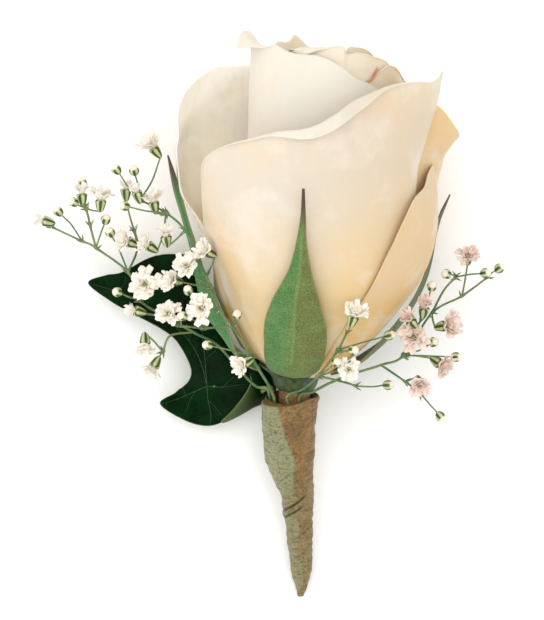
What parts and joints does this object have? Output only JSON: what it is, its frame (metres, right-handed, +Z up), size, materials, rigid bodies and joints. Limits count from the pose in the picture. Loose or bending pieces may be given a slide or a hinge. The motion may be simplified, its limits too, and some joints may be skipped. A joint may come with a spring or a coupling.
{
  "type": "boutonniere",
  "caption": "Cream rose boutonniere with green sepals, an ivy leaf, sprays of white gypsophila and a taped, tapering stem wrap, lying on its back.",
  "frame": {"origin": "middle of the small flat under the bloom, where the boutonniere rests on its back", "axes": "+Y towards the top of the bloom, -Y towards the tip of the stem wrap, +X to the right seen from above with the bloom away from the viewer, +Z up"},
  "size_m": [0.0865, 0.1027, 0.0488],
  "materials": {
    "petals": "soft cream petal",
    "sepals": "downy green",
    "floral_tape": "waxed crepe tape",
    "ivy": "glossy dark leaf",
    "gypsophila": "soft white floret"
  },
  "bodies": {
    "root": {"rose_bloom": "petals", "rose_calyx_stem": "sepals", "tape_wrap": "floral_tape", "ivy_leaf": "ivy", "gypsophila_left_front": "gypsophila", "gypsophila_left_back": "gypsophila", "gypsophila_right_front": "gypsophila", "gypsophila_right_back": "gypsophila"}
  },
  "joints": []
}
